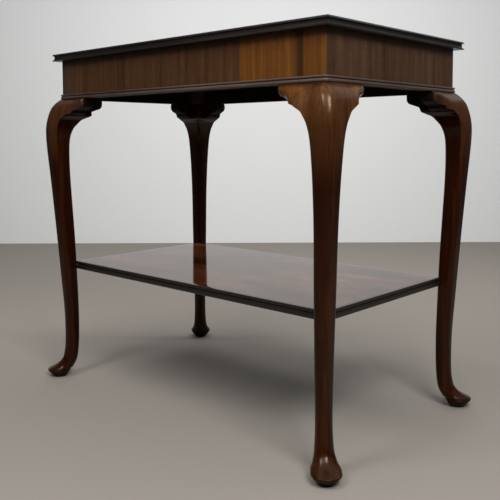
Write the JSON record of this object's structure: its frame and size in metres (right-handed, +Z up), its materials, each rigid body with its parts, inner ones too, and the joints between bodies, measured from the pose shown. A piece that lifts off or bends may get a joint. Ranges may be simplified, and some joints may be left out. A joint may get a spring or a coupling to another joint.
{
  "type": "side table",
  "caption": "Walnut side table with a veneered frieze, cabriole legs on pad feet, shaped knee ears and a dowelled lower shelf",
  "frame": {"origin": "on the floor under the middle of the table, at the bottom centre of its bounding box", "axes": "+X along the long side of the top, to the right; +Y across the short side, towards the back; +Z up"},
  "size_m": [0.7898, 0.4816, 0.71],
  "materials": {
    "polished_walnut": "French polish, glossy",
    "walnut_veneer": "French polish over figured veneer",
    "dark_walnut_moulding": "dark stained and polished",
    "figured_walnut_shelf": "high gloss polish over wavy veneer",
    "softwood": "unpolished, darkened with age",
    "screw_steel": "plain wood screws",
    "beech": "unfinished dowel"
  },
  "bodies": {
    "root": {"ear_back_left_long": "polished_walnut", "ear_back_left_short": "polished_walnut", "ear_back_right_long": "polished_walnut", "ear_back_right_short": "polished_walnut", "ear_front_left_long": "polished_walnut", "ear_front_left_short": "polished_walnut", "ear_front_right_long": "polished_walnut", "ear_front_right_short": "polished_walnut", "leg_back_left": "polished_walnut", "leg_back_right": "polished_walnut", "leg_front_left": "polished_walnut", "leg_front_right": "polished_walnut", "frieze_veneer_back_left": "walnut_veneer", "frieze_veneer_back_right": "walnut_veneer", "frieze_veneer_front_left": "walnut_veneer", "frieze_veneer_front_right": "walnut_veneer", "frieze_veneer_left": "walnut_veneer", "frieze_veneer_right": "walnut_veneer", "top_veneer_left": "walnut_veneer", "top_veneer_right": "walnut_veneer", "bead_back": "dark_walnut_moulding", "bead_front": "dark_walnut_moulding", "bead_left": "dark_walnut_moulding", "bead_right": "dark_walnut_moulding", "shelf_edge_back": "dark_walnut_moulding", "shelf_edge_front": "dark_walnut_moulding", "shelf_edge_left": "dark_walnut_moulding", "shelf_edge_right": "dark_walnut_moulding", "top_edge_back": "dark_walnut_moulding", "top_edge_front": "dark_walnut_moulding", "top_edge_left": "dark_walnut_moulding", "top_edge_right": "dark_walnut_moulding", "shelf_veneer": "figured_walnut_shelf", "glue_block_back_centre": "softwood", "glue_block_back_left": "softwood", "glue_block_back_right": "softwood", "glue_block_front_centre": "softwood", "glue_block_front_left": "softwood", "glue_block_front_right": "softwood", "glue_block_left": "softwood", "glue_block_right": "softwood", "rail_back": "softwood", "rail_front": "softwood", "rail_left": "softwood", "rail_right": "softwood", "shelf_board": "softwood", "top_board": "softwood", "ear_screws": "screw_steel", "top_screws": "screw_steel", "shelf_dowels": "beech"}
  },
  "joints": []
}
